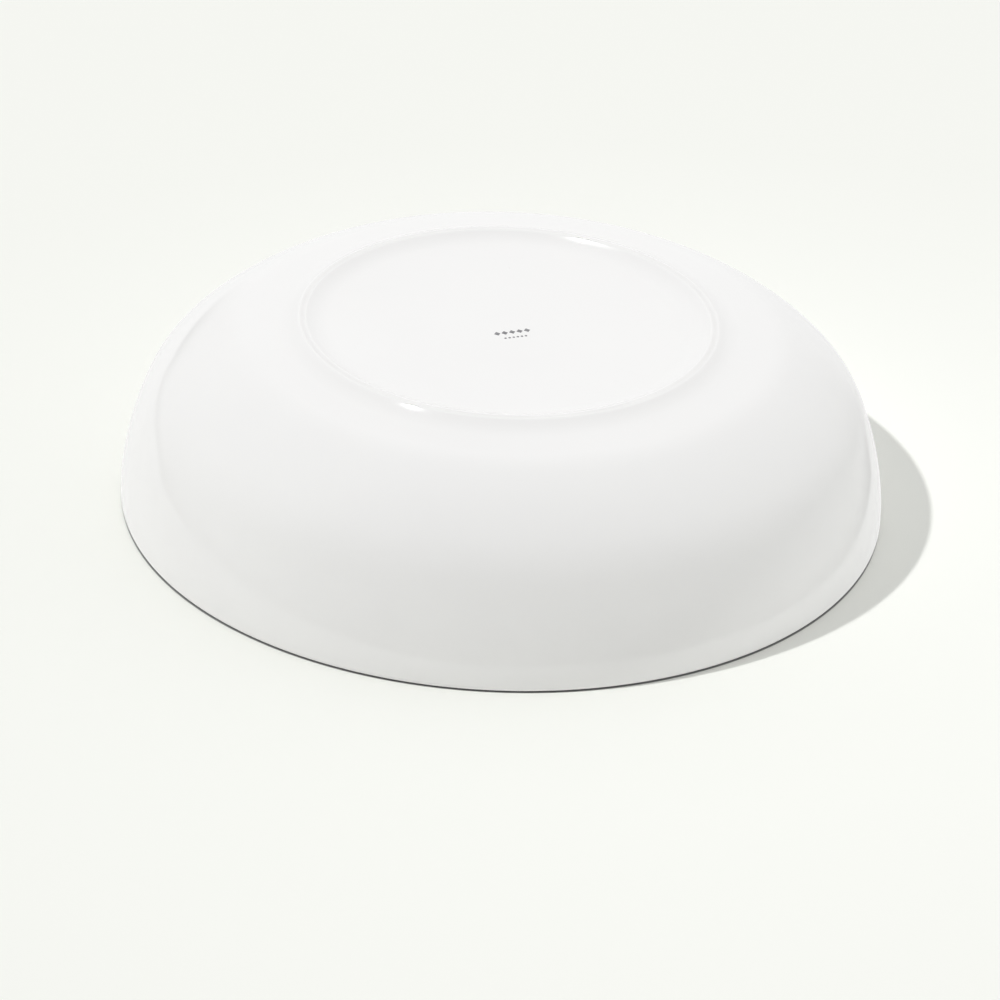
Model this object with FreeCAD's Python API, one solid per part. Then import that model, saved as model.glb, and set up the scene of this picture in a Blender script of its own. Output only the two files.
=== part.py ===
import FreeCAD, Part
import math
import os
from FreeCAD import Vector

# Porcelain serving bowl, stored upside down on its rim: the foot ring faces up (+Z).
# Millimetres. The origin is the centre of the rim, in the plane that the lip stands on.
# Every profile below is a half section in (radius, height), spun about the Z axis.
# A heading is the direction of travel along the section: 0 is outwards, 90 is up
# towards the foot, 180 is inwards to the axis.

# Driving sizes
RIM_DIAMETER = 304.8
GLAZE = 0.3
BARE_LIP_WIDTH = 1.0
BARE_DEPTH = 1.0

# Lip and the straight rim above it
LIP_OUTER_RADIUS = 2.4
RIM_HEIGHT = 3.8

# Outer body, one arc to each heading, then a straight run to the foot ring
COLLAR_RADIUS = 72.0
COLLAR_HEADING = 98.0
BELLY_RADIUS = 119.0
BELLY_HEADING = 112.0
FLANK_RADIUS = 42.5
FLANK_HEADING = 135.0
SHOULDER_RADIUS = 92.5
SHOULDER_HEADING = 152.0
CROWN_RADIUS = 30.0
CROWN_HEADING = 172.0
CROWN_RUN = 11.3

# Foot ring and the panel inside it
FOOT_OUTER_FILLET = 22.0
FOOT_OUTER_HEADING = 150.0
FOOT_OUTER_EDGE = 3.0
FOOT_FACE_WIDTH = 1.6
FOOT_INNER_EDGE = 3.0
FOOT_INNER_HEADING = 206.0
FOOT_INNER_FILLET = 21.0

# Inside
WALL = 4.8
FLOOR_RADIUS = 42.2

# Printed mark near the centre of the base: a row of lozenges over a row of dots
MARK_THICKNESS = 0.06
MARK_X = 2.3
MARK_Y = -8.4
MARK_TURN = 20.0
LOZENGES = 5
LOZENGE_HALF_LENGTH = 1.3
LOZENGE_HALF_WIDTH = 1.5
LOZENGE_SPACING = 3.1
DOTS = 6
DOT_RADIUS = 0.5
DOT_SPACING = 1.7
ROW_SPACING = 4.4

OUTWARDS = 0.0
UP = 90.0
INWARDS = 180.0
MATERIAL_LEFT = 1
MATERIAL_RIGHT = -1
AXIS = Vector(0, 0, 1)


def direction(heading):
    angle = math.radians(heading)
    return Vector(math.cos(angle), 0, math.sin(angle))


def left_of(heading):
    return direction(heading + 90.0)


def line(length):
    return ("line", length, 0.0)


def arc(radius, end_heading):
    return ("arc", radius, end_heading)


def walk(start, heading, steps, material, inset):
    """Tangent lines and arcs from start, all of them moved into the material by inset."""
    point = start + left_of(heading) * (material * inset)
    edges = []
    for kind, size, end_heading in steps:
        if kind == "line":
            end = point + direction(heading) * size
            edges.append(Part.makeLine(point, end))
        else:
            turn = end_heading - heading
            side = 1 if turn > 0 else -1
            radius = size - side * material * inset
            centre = point + left_of(heading) * (side * radius)
            middle = centre - left_of(heading + turn / 2) * (side * radius)
            end = centre - left_of(end_heading) * (side * radius)
            edges.append(Part.Arc(point, middle, end).toShape())
            heading = end_heading
        point = end
    axis_point = Vector(0, 0, point.z)
    edges.append(Part.makeLine(point, axis_point))
    return edges, axis_point


def lip_radius():
    """Radius of the lip's lowest line."""
    return RIM_DIAMETER / 2 - LIP_OUTER_RADIUS


def body_steps():
    return [
        arc(LIP_OUTER_RADIUS, UP),
        line(RIM_HEIGHT - LIP_OUTER_RADIUS),
        arc(COLLAR_RADIUS, COLLAR_HEADING),
        arc(BELLY_RADIUS, BELLY_HEADING),
        arc(FLANK_RADIUS, FLANK_HEADING),
        arc(SHOULDER_RADIUS, SHOULDER_HEADING),
        arc(CROWN_RADIUS, CROWN_HEADING),
        line(CROWN_RUN),
    ]


def foot_steps():
    return [
        arc(FOOT_OUTER_FILLET, FOOT_OUTER_HEADING),
        arc(FOOT_OUTER_EDGE, INWARDS),
        line(FOOT_FACE_WIDTH),
        arc(FOOT_INNER_EDGE, FOOT_INNER_HEADING),
        arc(FOOT_INNER_FILLET, INWARDS),
    ]


def inside_steps():
    lip_inner_radius = WALL - LIP_OUTER_RADIUS
    return [
        arc(lip_inner_radius, UP),
        line(RIM_HEIGHT - lip_inner_radius),
        arc(COLLAR_RADIUS - WALL, COLLAR_HEADING),
        arc(BELLY_RADIUS - WALL, BELLY_HEADING),
        arc(FLANK_RADIUS - WALL, FLANK_HEADING),
        arc(SHOULDER_RADIUS - WALL, SHOULDER_HEADING),
        arc(FLOOR_RADIUS, INWARDS),
    ]


def walk_outside(steps, inset):
    return walk(Vector(lip_radius(), 0, 0), OUTWARDS, steps, MATERIAL_LEFT, inset)


def walk_inside(inset):
    return walk(Vector(lip_radius(), 0, 0), INWARDS, inside_steps(), MATERIAL_RIGHT, inset)


def spun_section(inset):
    """The whole bowl as one solid, with its surface moved in by inset."""
    outer, outer_end = walk_outside(body_steps() + foot_steps(), inset)
    inner, inner_end = walk_inside(inset)
    edges = outer + [Part.makeLine(outer_end, inner_end)] + inner
    return spun(Part.Face(Part.Wire(Part.__sortEdges__(edges))))


def spun(face):
    return face.revolve(Vector(0, 0, 0), AXIS, 360)


def foot_face():
    """Inner radius, outer radius and height of the flat ring that the bowl stands on."""
    edges, _ = walk_outside(body_steps() + foot_steps()[:3], 0.0)
    box = edges[-2].BoundBox
    return box.XMin, box.XMax, box.ZMax


def panel_height():
    """Height of the flat panel inside the foot ring."""
    return walk_outside(body_steps() + foot_steps(), 0.0)[1].z


def tube(low_radius, high_radius, low_z, high_z):
    place = Vector(0, 0, low_z)
    outer = Part.makeCylinder(high_radius, high_z - low_z, place, AXIS)
    return outer.cut(Part.makeCylinder(low_radius, high_z - low_z, place, AXIS))


def porcelain_body(finished):
    """The fired clay: the finished bowl less its glaze, bare on the foot and the lip's crown."""
    low_radius, high_radius, height = foot_face()
    foot = tube(low_radius, high_radius, height - BARE_DEPTH, height)
    lip_low = lip_radius() - BARE_LIP_WIDTH / 2
    lip_high = lip_radius() + BARE_LIP_WIDTH / 2
    lip = tube(lip_low, lip_high, 0, BARE_DEPTH)
    bare = [finished.common(foot), finished.common(lip)]
    return spun_section(GLAZE).fuse(bare).removeSplitter().Solids[0]


def glaze_coats(finished, body):
    """The three coats of glaze, kept apart by the bare foot and the bare line on the lip."""
    coats = sorted(finished.cut(body).Solids, key=lambda coat: coat.Volume)
    return {"base_glaze": coats[0], "outer_glaze": coats[1], "inner_glaze": coats[2]}


def lozenge(x, y, height):
    corners = [
        Vector(x - LOZENGE_HALF_LENGTH, y, height),
        Vector(x, y - LOZENGE_HALF_WIDTH, height),
        Vector(x + LOZENGE_HALF_LENGTH, y, height),
        Vector(x, y + LOZENGE_HALF_WIDTH, height),
    ]
    outline = Part.makePolygon(corners + corners[:1])
    return Part.Face(outline).extrude(Vector(0, 0, MARK_THICKNESS))


def row_places(count, spacing):
    return [(index - (count - 1) / 2) * spacing for index in range(count)]


def backstamp(height):
    """A row of plain lozenges over a row of dots, printed on the panel inside the foot ring."""
    row_y = ROW_SPACING / 2
    pieces = [lozenge(x, row_y, height) for x in row_places(LOZENGES, LOZENGE_SPACING)]
    for x in row_places(DOTS, DOT_SPACING):
        place = Vector(x, -row_y, height)
        pieces.append(Part.makeCylinder(DOT_RADIUS, MARK_THICKNESS, place, AXIS))
    mark = Part.makeCompound(pieces)
    mark.rotate(Vector(0, 0, 0), AXIS, MARK_TURN)
    mark.translate(Vector(MARK_X, MARK_Y, 0))
    return mark


def build():
    finished = spun_section(0.0)
    body = porcelain_body(finished)
    nodes = {"porcelain_body": body}
    nodes.update(glaze_coats(finished, body))
    nodes["backstamp"] = backstamp(panel_height())
    return nodes


def main():
    os.makedirs("parts", exist_ok=True)
    for name, shape in build().items():
        shape.exportStep(os.path.join("parts", name + ".step"))


main()
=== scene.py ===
import math

import bmesh
import bpy
from mathutils import Matrix, Vector


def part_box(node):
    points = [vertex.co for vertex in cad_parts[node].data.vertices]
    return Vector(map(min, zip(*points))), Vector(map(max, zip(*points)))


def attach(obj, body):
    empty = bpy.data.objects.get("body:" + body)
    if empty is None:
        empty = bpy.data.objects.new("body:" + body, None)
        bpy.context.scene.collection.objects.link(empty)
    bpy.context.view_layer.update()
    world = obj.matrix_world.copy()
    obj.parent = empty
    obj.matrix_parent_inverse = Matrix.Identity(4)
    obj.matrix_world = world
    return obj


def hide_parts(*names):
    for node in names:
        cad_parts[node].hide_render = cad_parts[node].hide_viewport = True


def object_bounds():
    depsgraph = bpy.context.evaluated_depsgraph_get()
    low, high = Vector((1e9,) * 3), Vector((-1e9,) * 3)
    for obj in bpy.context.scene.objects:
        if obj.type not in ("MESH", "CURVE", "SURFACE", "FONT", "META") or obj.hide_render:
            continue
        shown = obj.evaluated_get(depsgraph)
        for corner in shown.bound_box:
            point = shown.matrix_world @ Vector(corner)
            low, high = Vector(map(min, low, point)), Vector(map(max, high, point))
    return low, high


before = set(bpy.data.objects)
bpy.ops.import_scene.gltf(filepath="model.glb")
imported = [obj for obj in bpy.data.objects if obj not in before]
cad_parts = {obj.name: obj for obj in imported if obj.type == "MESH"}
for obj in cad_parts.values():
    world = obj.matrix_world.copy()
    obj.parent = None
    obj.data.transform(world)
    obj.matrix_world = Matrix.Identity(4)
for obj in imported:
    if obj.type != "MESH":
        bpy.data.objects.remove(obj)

# The bowl stands upside down on its rim, with its foot ring up. Lengths are in metres.
# A heading is the direction of travel along a half section: 0 is outwards, 90 is up
# towards the foot, 180 is inwards to the axis.

MM = 0.001
CAD_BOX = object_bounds()
RIM_RADIUS = CAD_BOX[1].x

# Glaze, and where the clay is bare
GLAZE = 0.3 * MM
BARE_LIP_WIDTH = 1.0 * MM

# Lip and the straight rim above it
LIP_OUTER_RADIUS = 2.4 * MM
RIM_HEIGHT = 3.8 * MM

# Outer body, one arc to each heading, then a straight run to the foot ring
COLLAR_RADIUS = 72.0 * MM
COLLAR_HEADING = 98.0
BELLY_RADIUS = 119.0 * MM
BELLY_HEADING = 112.0
FLANK_RADIUS = 42.5 * MM
FLANK_HEADING = 135.0
SHOULDER_RADIUS = 92.5 * MM
SHOULDER_HEADING = 152.0
CROWN_RADIUS = 30.0 * MM
CROWN_HEADING = 172.0
CROWN_RUN = 11.3 * MM

# Foot ring and the panel inside it
FOOT_OUTER_FILLET = 22.0 * MM
FOOT_OUTER_HEADING = 150.0
FOOT_OUTER_EDGE = 3.0 * MM
FOOT_FACE_WIDTH = 1.6 * MM
FOOT_INNER_EDGE = 3.0 * MM
FOOT_INNER_HEADING = 206.0
FOOT_INNER_FILLET = 21.0 * MM

# Inside
WALL = 4.8 * MM
LIP_INNER_RADIUS = WALL - LIP_OUTER_RADIUS
FLOOR_RADIUS = 42.2 * MM

# Printed mark: a row of lozenges over a row of dots
MARK_LIFT = 0.06 * MM
MARK_X = 2.3 * MM
MARK_Y = -8.4 * MM
MARK_TURN = 20.0
LOZENGES = 5
LOZENGE_HALF_LENGTH = 1.3 * MM
LOZENGE_HALF_WIDTH = 1.5 * MM
LOZENGE_SPACING = 3.1 * MM
DOTS = 6
DOT_RADIUS = 0.5 * MM
DOT_SPACING = 1.7 * MM
ROW_SPACING = 4.4 * MM

# Mesh fineness
SPIN_STEPS = 288
ARC_STEP = 5.0
ARC_LENGTH = 2.5 * MM
SHARP_ANGLE = 35.0
MERGE_DISTANCE = 0.001 * MM
LOZENGE_SIDES = 4
DOT_SIDES = 24

# Glaze, bared clay and printed ink: the two ends of each colour's slight variation
GLAZE_DEEP = (0.93, 0.926, 0.919)
GLAZE_PALE = (0.943, 0.94, 0.931)
PINHOLE_COLOR = (0.72, 0.70, 0.66)
CLAY_WORN = (0.865, 0.86, 0.85)
CLAY_CLEAN = (0.91, 0.905, 0.895)
INK_DENSE = (0.16, 0.16, 0.17)
INK_THIN = (0.28, 0.28, 0.29)
BLEND_STOPS = (0.3, 0.7)
PORCELAIN_IOR = 1.5

# Noise scales (per metre) of the glaze's clouds, gloss and ripple, the clay's wear and grain,
# and the ink's density
CLOUD_SCALE = 14.0
GLOSS_SCALE = 40.0
RIPPLE_SCALE = 24.0
WEAR_SCALE = 55.0
GRAIN_SCALE = 1800.0
INK_SCALE = 900.0
PINHOLE_SCALE = 160.0
PINHOLE_SIZE = 0.03
PINHOLE_RARITY = 0.93
PINHOLE_DEPTH = -0.4

OUTWARDS = 0.0
UP = 90.0
INWARDS = 180.0
DOWN = 270.0
MATERIAL_LEFT = 1
MATERIAL_RIGHT = -1
AXIS = Vector((0, 0, 1))
ORIGIN = Vector((0, 0, 0))

# Camera: a long lens that looks down at the upturned base, turned a little about its own axis
LENS = 186.6
SENSOR_WIDTH = 36.0
PITCH = 29.05
ROLL = 2.54
DISTANCE = 2.084
AIM_X = 0.0003
AIM_Y = 0.0014

# Key light: the azimuth that it travels towards and its height
SUN_AZIMUTH = 12.8
SUN_ELEVATION = 55.3
SUN_STRENGTH = 1.45
SUN_ANGLE = 2.0
# Narrow beams that reach only a short length of the foot ring each, where they make its
# glints. Each row is the place round the ring, the beams' middle azimuth and their spacing.
GLINTS = ((244.3, -22.6, 5.5), (66.9, -52.5, 2.2))
GLINT_FAN = (-2, -1, 0, 1, 2)
GLINT_ELEVATION = 66.9
GLINT_DISTANCE = 0.6
GLINT_BEAM = 0.015
GLINT_RADIUS = 0.009
GLINT_POWER = 4.0

# Soft light from all round: its mean, how it grows towards +X and +Y, and a fill from +X
SKY_STRENGTH = 0.57
SKY_TO_RIGHT = 0.22
SKY_TO_BACK = 0.28
SKY_RIGHT_FILL = 0.2

# The studio as the glaze reflects it. The pale table ends at an edge, with a dark gap just
# above it. The edge's elevation (degrees) in front, at the right, at the back left and at the
# left, then the same by azimuth:
EDGE_FRONT = -19.0
EDGE_RIGHT = -21.0
EDGE_BACK = 0.0
EDGE_LEFT = -11.0
TABLE_EDGE = (
    (-180, EDGE_LEFT),
    (-100, EDGE_FRONT),
    (-30, EDGE_FRONT),
    (30, EDGE_RIGHT),
    (60, EDGE_RIGHT),
    (120, EDGE_BACK),
    (150, EDGE_LEFT),
    (180, EDGE_LEFT),
)
EDGE_LOWEST = -30.0
EDGE_HIGHEST = 10.0
TABLE_GLOW = 0.95
# Brightness above the edge, by degrees above it, and the share of it that is left in front
ROOM_GLOW = ((0.0, 0.95), (0.4, 0.4), (2.0, 0.5), (6.0, 0.8), (40.0, 0.88), (90.0, 1.0))
ROOM_LOWEST = -20.0
ROOM_HIGHEST = 100.0
ROOM_FRONT_SHARE = 0.15
BACKDROP_GLOW = 0.93
# Where a plain bright backdrop stands behind the table's edge (azimuth, share)
BACKDROP_SHARE = ((-180, 0.0), (60, 0.0), (68, 1.0), (105, 1.0), (113, 0.0), (180, 0.0))

FLOOR_SIZE = 12.0
TABLE_SIZE = 0.9
TABLE_RISE = 0.02 * MM
FLOOR_COLOR = (0.9224, 0.9314, 0.888)
# Painted light: the floor is a shade lighter round this place, where the bowl keeps soft light
# off it
FLOOR_PAINTED_LIGHT_COLOR = (0.965, 0.975, 0.93)
FLOOR_PAINTED_LIGHT_PLACE = (0.07, -0.06, 0.0)
FLOOR_PAINTED_LIGHT_CORE = 0.42
FLOOR_PAINTED_LIGHT_REACH = 0.4
# Painted shade: the floor is dark under the bowl, and shows below the lip's overhang as the
# contact line
# Colour and fade width of the painted contact shade
PAINTED_CONTACT_SHADE_COLOR = (0.25, 0.25, 0.25)
PAINTED_CONTACT_SHADE_FADE = 0.5 * MM
BACKDROP_COLOR = (0.921, 0.930, 0.888)


# ---------------------------------------------------------------- sections


def direction(heading):
    angle = math.radians(heading)
    return Vector((math.cos(angle), 0, math.sin(angle)))


def left_of(heading):
    return direction(heading + 90.0)


def line(length):
    return ("line", length, 0.0)


def arc(radius, end_heading):
    return ("arc", radius, end_heading)


def corner(end_heading):
    return ("corner", 0.0, end_heading)


def draw_line(bm, vert, offset):
    """One straight edge on from vert. Returns the new end."""
    grown = bmesh.ops.extrude_vert_indiv(bm, verts=[vert])
    bmesh.ops.translate(bm, verts=grown["verts"], vec=offset)
    return grown["verts"][0]


def draw_arc(bm, vert, heading, end_heading, radius, material, inset):
    """A tangent arc on from vert, spun about its centre. Returns the new end."""
    turn = end_heading - heading
    side = 1 if turn > 0 else -1
    drawn = radius - side * material * inset
    centre = vert.co + left_of(heading) * (side * drawn)
    by_angle = abs(turn) / ARC_STEP
    by_length = math.radians(abs(turn)) * drawn / ARC_LENGTH
    spun = bmesh.ops.spin(
        bm,
        geom=[vert],
        cent=centre,
        axis=(0, -1, 0),
        angle=math.radians(turn),
        steps=max(2, math.ceil(by_angle), math.ceil(by_length)),
    )
    return spun["geom_last"][0]


def draw_path(bm, vert, heading, steps, material, inset=0.0):
    """Lines and arcs on from vert, moved into the material by inset. Returns the new end."""
    for kind, size, end_heading in steps:
        if kind == "line":
            vert = draw_line(bm, vert, direction(heading) * size)
            continue
        if kind == "arc":
            vert = draw_arc(bm, vert, heading, end_heading, size, material, inset)
        heading = end_heading
    return vert


def draw_to_axis(bm, vert):
    return draw_line(bm, vert, Vector((-vert.co.x, 0, 0)))


def lip_radius():
    """Radius of the lip's lowest line."""
    return RIM_RADIUS - LIP_OUTER_RADIUS


def bare_slope(radius):
    """The lip's slope at the edge of the bare line on its crown."""
    return math.degrees(math.asin(BARE_LIP_WIDTH / 2 / radius))


def bare_rise(radius):
    return radius * (1 - math.cos(math.radians(bare_slope(radius))))


def start_on_lip(bm, radius, inset, side):
    """A start beside the bare line on the lip's crown, and the heading there."""
    drawn = radius - inset
    x = lip_radius() + side * BARE_LIP_WIDTH / 2
    slope = bare_slope(drawn)
    heading = slope if side > 0 else INWARDS - slope
    return bm.verts.new((x, 0, inset + bare_rise(drawn))), heading


def bare_lip_steps(radius, side):
    """From the lip's lowest line over its bare part, then up under the glaze's edge."""
    skin, clay = bare_slope(radius), bare_slope(radius - GLAZE)
    rise = GLAZE + bare_rise(radius - GLAZE) - bare_rise(radius)
    if side < 0:
        skin, clay = INWARDS - skin, INWARDS - clay
    return [arc(radius, skin), corner(UP), line(rise), corner(clay)], clay


def body_steps():
    return [
        arc(LIP_OUTER_RADIUS, UP),
        line(RIM_HEIGHT - LIP_OUTER_RADIUS),
        arc(COLLAR_RADIUS, COLLAR_HEADING),
        arc(BELLY_RADIUS, BELLY_HEADING),
        arc(FLANK_RADIUS, FLANK_HEADING),
        arc(SHOULDER_RADIUS, SHOULDER_HEADING),
        arc(CROWN_RADIUS, CROWN_HEADING),
        line(CROWN_RUN),
        arc(FOOT_OUTER_FILLET, FOOT_OUTER_HEADING),
        arc(FOOT_OUTER_EDGE, INWARDS),
    ]


def bare_foot_steps():
    return [
        corner(UP),
        line(GLAZE),
        corner(INWARDS),
        line(FOOT_FACE_WIDTH),
        corner(DOWN),
        line(GLAZE),
        corner(INWARDS),
    ]


def panel_steps():
    return [
        arc(FOOT_INNER_EDGE, FOOT_INNER_HEADING),
        arc(FOOT_INNER_FILLET, INWARDS),
    ]


def inside_steps():
    return [
        arc(LIP_INNER_RADIUS, UP),
        line(RIM_HEIGHT - LIP_INNER_RADIUS),
        arc(COLLAR_RADIUS - WALL, COLLAR_HEADING),
        arc(BELLY_RADIUS - WALL, BELLY_HEADING),
        arc(FLANK_RADIUS - WALL, FLANK_HEADING),
        arc(SHOULDER_RADIUS - WALL, SHOULDER_HEADING),
        arc(FLOOR_RADIUS, INWARDS),
    ]


def join(bm, first, second):
    bmesh.ops.contextual_create(bm, geom=[first, second])


# ---------------------------------------------------------------- pieces


def finish_piece(bm, name, node, material):
    """Puts a closed mesh in the scene as one piece of the bowl."""
    bmesh.ops.recalc_face_normals(bm, faces=bm.faces)
    for face in bm.faces:
        face.smooth = True
    mesh = bpy.data.meshes.new(name)
    bm.to_mesh(mesh)
    bm.free()
    mesh.set_sharp_from_angle(angle=math.radians(SHARP_ANGLE))
    piece = bpy.data.objects.new(name, mesh)
    bpy.context.scene.collection.objects.link(piece)
    mesh.materials.append(material)
    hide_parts(node)
    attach(piece, "root")
    return piece


def spin_section(bm):
    """Spins the drawn section about the bowl's axis and closes its seam and poles."""
    bmesh.ops.spin(
        bm,
        geom=bm.verts[:] + bm.edges[:],
        cent=ORIGIN,
        axis=AXIS,
        angle=math.tau,
        steps=SPIN_STEPS,
        use_merge=True,
    )
    bmesh.ops.remove_doubles(bm, verts=bm.verts, dist=MERGE_DISTANCE)


def draw_clay_side(bm, crown, radius, side, steps):
    """The clay's outline from the lip's lowest line, down one side of the wall to the axis."""
    start_heading = OUTWARDS if side > 0 else INWARDS
    lip, heading = bare_lip_steps(radius, side)
    edge = draw_path(bm, crown, start_heading, lip, side)
    draw_to_axis(bm, draw_path(bm, edge, heading, steps, side, GLAZE))


def make_body(material):
    bm = bmesh.new()
    crown = bm.verts.new((lip_radius(), 0, 0))
    outer = body_steps() + bare_foot_steps() + panel_steps()
    draw_clay_side(bm, crown, LIP_OUTER_RADIUS, MATERIAL_LEFT, outer)
    draw_clay_side(bm, crown, LIP_INNER_RADIUS, MATERIAL_RIGHT, inside_steps())
    spin_section(bm)
    return finish_piece(bm, "clay_body", "porcelain_body", material)


def make_outer_glaze(material):
    bm = bmesh.new()
    ends = []
    for inset in (0.0, GLAZE):
        start, heading = start_on_lip(bm, LIP_OUTER_RADIUS, inset, MATERIAL_LEFT)
        end = draw_path(bm, start, heading, body_steps(), MATERIAL_LEFT, inset)
        ends.append((start, end))
    (skin_start, skin_end), (clay_start, clay_end) = ends
    join(bm, skin_start, clay_start)
    join(bm, skin_end, clay_end)
    spin_section(bm)
    return finish_piece(bm, "glaze_outside", "outer_glaze", material)


def make_inner_glaze(material):
    bm = bmesh.new()
    starts = []
    for inset in (0.0, GLAZE):
        start, heading = start_on_lip(bm, LIP_INNER_RADIUS, inset, MATERIAL_RIGHT)
        starts.append(start)
        end = draw_path(bm, start, heading, inside_steps(), MATERIAL_RIGHT, inset)
        draw_to_axis(bm, end)
    join(bm, *starts)
    spin_section(bm)
    return finish_piece(bm, "glaze_inside", "inner_glaze", material)


def foot_edge():
    """Radius and height of the inner edge of the face that the bowl stands on."""
    bm = bmesh.new()
    start = bm.verts.new((lip_radius(), 0, 0))
    steps = body_steps() + [line(FOOT_FACE_WIDTH)]
    place = draw_path(bm, start, OUTWARDS, steps, MATERIAL_LEFT).co.copy()
    bm.free()
    return place


def make_base_glaze(material):
    bm = bmesh.new()
    edge = foot_edge()
    starts = []
    for inset in (0.0, GLAZE):
        start = bm.verts.new(edge - AXIS * inset)
        starts.append(start)
        draw_to_axis(bm, draw_path(bm, start, INWARDS, panel_steps(), MATERIAL_LEFT, inset))
    join(bm, *starts)
    spin_section(bm)
    return finish_piece(bm, "glaze_base", "base_glaze", material)


def raise_faces(bm, faces, lift):
    grown = bmesh.ops.extrude_face_region(bm, geom=faces)
    top = [item for item in grown["geom"] if isinstance(item, bmesh.types.BMVert)]
    bmesh.ops.translate(bm, verts=top, vec=AXIS * lift)


def row_places(count, spacing):
    return [(index - (count - 1) / 2) * spacing for index in range(count)]


def draw_print(bm, x, y, half_length, half_width, segments):
    shape = Matrix.Diagonal((half_length, half_width, 1.0, 1.0))
    place = Matrix.Translation((x, y, 0))
    bmesh.ops.create_circle(
        bm, cap_ends=True, segments=segments, radius=1.0, matrix=place @ shape
    )


def make_backstamp(material):
    """A row of plain lozenges over a row of dots, printed on the panel inside the foot ring."""
    panel_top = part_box("backstamp")[0].z
    bm = bmesh.new()
    for x in row_places(LOZENGES, LOZENGE_SPACING):
        draw_print(bm, x, ROW_SPACING / 2, LOZENGE_HALF_LENGTH, LOZENGE_HALF_WIDTH, LOZENGE_SIDES)
    for x in row_places(DOTS, DOT_SPACING):
        draw_print(bm, x, -ROW_SPACING / 2, DOT_RADIUS, DOT_RADIUS, DOT_SIDES)
    raise_faces(bm, bm.faces[:], MARK_LIFT)
    bmesh.ops.rotate(bm, verts=bm.verts, matrix=Matrix.Rotation(math.radians(MARK_TURN), 3, "Z"))
    bmesh.ops.translate(bm, verts=bm.verts, vec=(MARK_X, MARK_Y, panel_top))
    return finish_piece(bm, "printed_mark", "backstamp", material)


# ---------------------------------------------------------------- materials


class Graph:
    """Adds and links shader nodes."""

    def __init__(self, tree):
        self.tree = tree

    def add(self, kind, inputs=None, **settings):
        node = self.tree.nodes.new(kind)
        for name, value in settings.items():
            setattr(node, name, value)
        for key, value in (inputs or {}).items():
            if isinstance(value, bpy.types.NodeSocket):
                self.tree.links.new(value, node.inputs[key])
            else:
                node.inputs[key].default_value = value
        return node

    def math(self, operation, *values):
        return self.add("ShaderNodeMath", dict(enumerate(values)), operation=operation).outputs[0]

    def ramp(self, factor, stops):
        """A colour ramp through (position, grey or colour) stops."""
        node = self.add("ShaderNodeValToRGB", {"Fac": factor})
        elements = node.color_ramp.elements
        while len(elements) < len(stops):
            elements.new(0.5)
        for element, (position, value) in zip(elements, stops):
            element.position = position
            grey = isinstance(value, float)
            element.color = (value, value, value, 1) if grey else (*value, 1)
        return node.outputs["Color"]


def start_material(name, settings):
    """A material with one Principled shader. Returns it, its graph, shader and coordinates."""
    material = bpy.data.materials.new(name)
    material.use_nodes = True
    graph = Graph(material.node_tree)
    shader = material.node_tree.nodes["Principled BSDF"]
    for key, value in settings.items():
        shader.inputs[key].default_value = value
    where = graph.add("ShaderNodeTexCoord").outputs["Object"]
    return material, graph, shader, where


def noise(graph, where, scale, detail=2.0):
    inputs = {"Vector": where, "Scale": scale, "Detail": detail}
    return graph.add("ShaderNodeTexNoise", inputs).outputs["Fac"]


def blend(graph, factor, first, second):
    low, high = BLEND_STOPS
    return graph.ramp(factor, [(low, first), (high, second)])


def add_bump(graph, shader, height, strength, distance):
    inputs = {"Height": height, "Strength": strength, "Distance": distance}
    bump = graph.add("ShaderNodeBump", inputs)
    graph.tree.links.new(bump.outputs["Normal"], shader.inputs["Normal"])


def link(graph, output, shader, name):
    graph.tree.links.new(output, shader.inputs[name])


def mix_color(graph, factor, first, second):
    inputs = {"Fac": factor, "Color1": first, "Color2": (*second, 1)}
    return graph.add("ShaderNodeMixRGB", inputs).outputs["Color"]


def distance_to(graph, where, place):
    inputs = {0: where, 1: place}
    return graph.add("ShaderNodeVectorMath", inputs, operation="DISTANCE").outputs["Value"]


def specks(graph, where, scale, size, rarity):
    """A mask that is 1 on rare small round specks."""
    cells = graph.add("ShaderNodeTexVoronoi", {"Vector": where, "Scale": scale})
    near = graph.math("LESS_THAN", cells.outputs["Distance"], size)
    picked = graph.math("GREATER_THAN", cells.outputs["Color"], rarity)
    return graph.math("MULTIPLY", near, picked)


def glaze_material():
    """Clear glossy glaze on white clay: faintly clouded, with a soft ripple and pinholes."""
    settings = {"IOR": PORCELAIN_IOR, "Specular IOR Level": 0.5}
    material, graph, shader, where = start_material("clear_glaze", settings)
    clouds = noise(graph, where, CLOUD_SCALE, 3.0)
    tone = blend(graph, clouds, GLAZE_DEEP, GLAZE_PALE)
    pinholes = specks(graph, where, PINHOLE_SCALE, PINHOLE_SIZE, PINHOLE_RARITY)
    link(graph, mix_color(graph, pinholes, tone, PINHOLE_COLOR), shader, "Base Color")
    gloss = graph.math("MULTIPLY_ADD", noise(graph, where, GLOSS_SCALE), 0.05, 0.045)
    link(graph, gloss, shader, "Roughness")
    pits = graph.math("MULTIPLY", pinholes, PINHOLE_DEPTH)
    ripple = graph.math("ADD", noise(graph, where, RIPPLE_SCALE), pits)
    add_bump(graph, shader, ripple, 0.02, 1.0 * MM)
    return material


def clay_material():
    """Bare fired clay on the foot's standing face: matt, warm white, a little worn and grey."""
    settings = {"IOR": PORCELAIN_IOR, "Specular IOR Level": 0.3}
    material, graph, shader, where = start_material("bisque", settings)
    wear = noise(graph, where, WEAR_SCALE, 4.0)
    link(graph, blend(graph, wear, CLAY_WORN, CLAY_CLEAN), shader, "Base Color")
    link(graph, graph.math("MULTIPLY_ADD", wear, 0.3, 0.4), shader, "Roughness")
    add_bump(graph, shader, noise(graph, where, GRAIN_SCALE, 4.0), 0.15, 0.1 * MM)
    return material


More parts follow.
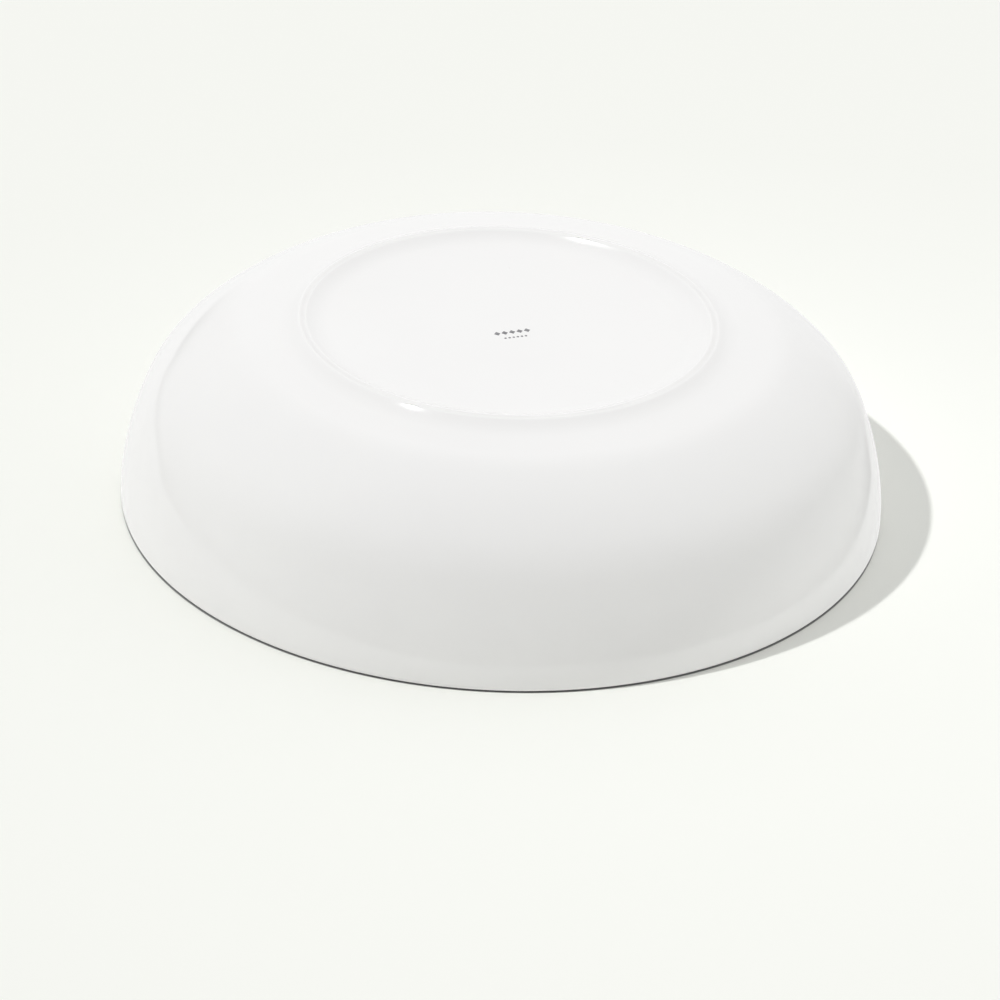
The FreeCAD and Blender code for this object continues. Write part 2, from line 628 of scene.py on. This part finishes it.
def ink_material():
    """Grey transfer print under the glaze, a little uneven in density."""
    settings = {"IOR": PORCELAIN_IOR, "Specular IOR Level": 0.5, "Roughness": 0.12}
    material, graph, shader, where = start_material("grey_print", settings)
    density = noise(graph, where, INK_SCALE, 3.0)
    link(graph, blend(graph, density, INK_DENSE, INK_THIN), shader, "Base Color")
    return material


def floor_material():
    """Matt pale paper, with painted light where the bowl keeps soft light off it, and painted
    shade under the bowl.
    """
    settings = {"Roughness": 1.0, "Specular IOR Level": 0.0}
    material, graph, shader, where = start_material("floor_paper", settings)
    # Painted light: a lighter patch near the bowl, where the bowl keeps soft light off the floor
    away = distance_to(graph, where, FLOOR_PAINTED_LIGHT_PLACE)
    stops = [(0.0, FLOOR_PAINTED_LIGHT_COLOR), (FLOOR_PAINTED_LIGHT_CORE, FLOOR_PAINTED_LIGHT_COLOR), (1.0, FLOOR_COLOR)]
    tone = graph.ramp(graph.math("DIVIDE", away, FLOOR_PAINTED_LIGHT_REACH), stops)
    # Painted shade: the floor goes dark under the bowl, fading out just inside the rim
    out = distance_to(graph, where, ORIGIN)
    out = graph.math("SUBTRACT", out, RIM_RADIUS - PAINTED_CONTACT_SHADE_FADE)
    under = graph.math("SUBTRACT", 1.0, graph.math("DIVIDE", out, PAINTED_CONTACT_SHADE_FADE))
    under = graph.math("MINIMUM", graph.math("MAXIMUM", under, 0.0), 1.0)
    tone = mix_color(graph, under, tone, PAINTED_CONTACT_SHADE_COLOR)
    link(graph, tone, shader, "Base Color")
    return material


# ---------------------------------------------------------------- stage


def make_camera():
    """The long-lens camera, in front of the bowl (towards -Y) and above it."""
    pitch = math.radians(PITCH)
    right = Vector((1, 0, 0))
    forward = Vector((0, math.cos(pitch), -math.sin(pitch)))
    up = Vector((0, math.sin(pitch), math.cos(pitch)))
    data = bpy.data.cameras.new("camera")
    data.lens = LENS
    data.sensor_width = SENSOR_WIDTH
    camera = bpy.data.objects.new("camera", data)
    bpy.context.scene.collection.objects.link(camera)
    place = -(right * AIM_X + up * AIM_Y + forward * DISTANCE)
    axes = Matrix((right, up, -forward)).transposed().to_4x4()
    roll = Matrix.Rotation(math.radians(ROLL), 4, "Z")
    camera.matrix_world = Matrix.Translation(place) @ axes @ roll
    bpy.context.scene.camera = camera


def travel(azimuth, elevation):
    """The direction of light that comes down at an elevation, towards an azimuth."""
    azimuth, elevation = math.radians(azimuth), math.radians(elevation)
    level = Vector((math.cos(azimuth), math.sin(azimuth), 0)) * math.cos(elevation)
    return level - AXIS * math.sin(elevation)


def add_light(name, kind, energy, heading):
    data = bpy.data.lights.new(name, kind)
    data.energy = energy
    light = bpy.data.objects.new(name, data)
    bpy.context.scene.collection.objects.link(light)
    light.rotation_mode = "QUATERNION"
    light.rotation_quaternion = heading.to_track_quat("-Z", "Y")
    return light


def make_key():
    """A hard key from the left, which the glaze doesn't mirror."""
    key = add_light("key", "SUN", SUN_STRENGTH, travel(SUN_AZIMUTH, SUN_ELEVATION))
    key.data.angle = math.radians(SUN_ANGLE)
    key.visible_glossy = False


def make_ring_beams():
    """Two fans of narrow beams, each aimed at one place on the foot ring."""
    radius = foot_edge().x
    for place, middle, spacing in GLINTS:
        turn = math.radians(place)
        target = Vector((math.cos(turn) * radius, math.sin(turn) * radius, CAD_BOX[1].z))
        for step in GLINT_FAN:
            heading = travel(middle + step * spacing, GLINT_ELEVATION)
            beam = add_light("ring_beam", "SPOT", GLINT_POWER, heading)
            beam.data.shadow_soft_size = GLINT_RADIUS
            beam.data.spot_size = 2 * math.atan(GLINT_BEAM / GLINT_DISTANCE)
            beam.visible_diffuse = False
            beam.location = target - heading * GLINT_DISTANCE


def share(value, lowest, highest):
    return (value - lowest) / (highest - lowest)


def reflected_room(graph, x, y, z):
    """Brightness of the studio in the direction x, y, z, as the glaze reflects it."""
    azimuth = graph.math("ARCTAN2", y, x)
    turn = graph.math("MULTIPLY_ADD", azimuth, 1 / math.tau, 0.5)
    stops = [
        (share(where, -180, 180), share(edge, EDGE_LOWEST, EDGE_HIGHEST))
        for where, edge in TABLE_EDGE
    ]
    span = EDGE_HIGHEST - EDGE_LOWEST
    edge = graph.math("MULTIPLY_ADD", graph.ramp(turn, stops), span, EDGE_LOWEST)
    elevation = graph.math("DEGREES", graph.math("ARCSINE", z))
    above = graph.math("SUBTRACT", elevation, edge)
    span = ROOM_HIGHEST - ROOM_LOWEST
    place = graph.math("MULTIPLY_ADD", above, 1 / span, -ROOM_LOWEST / span)
    stops = [(share(where, ROOM_LOWEST, ROOM_HIGHEST), glow) for where, glow in ROOM_GLOW]
    room = graph.ramp(place, stops)
    stops = [(share(where, -180, 180), float(part)) for where, part in BACKDROP_SHARE]
    behind = graph.ramp(turn, stops)
    front = graph.math("MAXIMUM", graph.math("MULTIPLY", y, -1.0), 0.0)
    dim = graph.math("MULTIPLY_ADD", front, ROOM_FRONT_SHARE - 1, 1.0)
    room = graph.math("MULTIPLY", room, dim)
    below = graph.math("LESS_THAN", above, 0.0)
    table = graph.math("MULTIPLY", below, TABLE_GLOW)
    upper = graph.math("MULTIPLY", room, graph.math("SUBTRACT", 1.0, below))
    studio = graph.math("ADD", table, upper)
    lift = graph.math("MULTIPLY", graph.math("SUBTRACT", BACKDROP_GLOW, studio), behind)
    return graph.math("ADD", studio, lift)


def make_world():
    """Soft light, weaker from the front and left, a pale backdrop and a studio to reflect."""
    world = bpy.data.worlds.new("studio")
    bpy.context.scene.world = world
    world.use_nodes = True
    world.node_tree.nodes.clear()
    graph = Graph(world.node_tree)
    where = graph.add("ShaderNodeTexCoord").outputs["Generated"]
    parts = graph.add("ShaderNodeSeparateXYZ", {0: where}).outputs
    x, y, z = parts[0], parts[1], parts[2]
    across = graph.math("MULTIPLY_ADD", x, SKY_TO_RIGHT, SKY_STRENGTH)
    across = graph.math("MULTIPLY_ADD", graph.math("MAXIMUM", x, 0.0), SKY_RIGHT_FILL, across)
    sky = graph.math("MAXIMUM", graph.math("MULTIPLY_ADD", y, SKY_TO_BACK, across), 0.0)
    path = graph.add("ShaderNodeLightPath").outputs
    light = graph.add("ShaderNodeBackground", {"Strength": sky})
    room = graph.add("ShaderNodeBackground", {"Strength": reflected_room(graph, x, y, z)})
    backdrop = graph.add("ShaderNodeBackground", {"Color": (*BACKDROP_COLOR, 1)})
    light.inputs["Color"].default_value = (1, 1, 1, 1)
    room.inputs["Color"].default_value = (1, 1, 1, 1)
    mix = graph.add(
        "ShaderNodeMixShader",
        {0: path["Is Glossy Ray"], 1: light.outputs[0], 2: room.outputs[0]},
    )
    mix = graph.add(
        "ShaderNodeMixShader",
        {0: path["Is Camera Ray"], 1: mix.outputs[0], 2: backdrop.outputs[0]},
    )
    graph.add("ShaderNodeOutputWorld", {"Surface": mix.outputs[0]})


def make_ground(name, size, height, material):
    """One square sheet of the floor. The glaze doesn't mirror it."""
    bm = bmesh.new()
    bmesh.ops.create_grid(bm, x_segments=1, y_segments=1, size=size)
    bmesh.ops.translate(bm, verts=bm.verts, vec=AXIS * height)
    mesh = bpy.data.meshes.new(name)
    bm.to_mesh(mesh)
    bm.free()
    ground = bpy.data.objects.new(name, mesh)
    bpy.context.scene.collection.objects.link(ground)
    mesh.materials.append(material)
    ground.visible_glossy = False
    return ground


def make_floor():
    """A small pale table that throws light back at the bowl, in a plain pale surround."""
    material = floor_material()
    make_ground("table", TABLE_SIZE, 0.0, material)
    surround = make_ground("surround", FLOOR_SIZE, -TABLE_RISE, material)
    surround.visible_diffuse = False


def main():
    make_camera()
    make_key()
    make_ring_beams()
    make_world()
    make_floor()
    glaze = glaze_material()
    make_body(clay_material())
    make_outer_glaze(glaze)
    make_inner_glaze(glaze)
    make_base_glaze(glaze)
    make_backstamp(ink_material())
    bpy.context.scene.view_settings.view_transform = "Standard"


main()
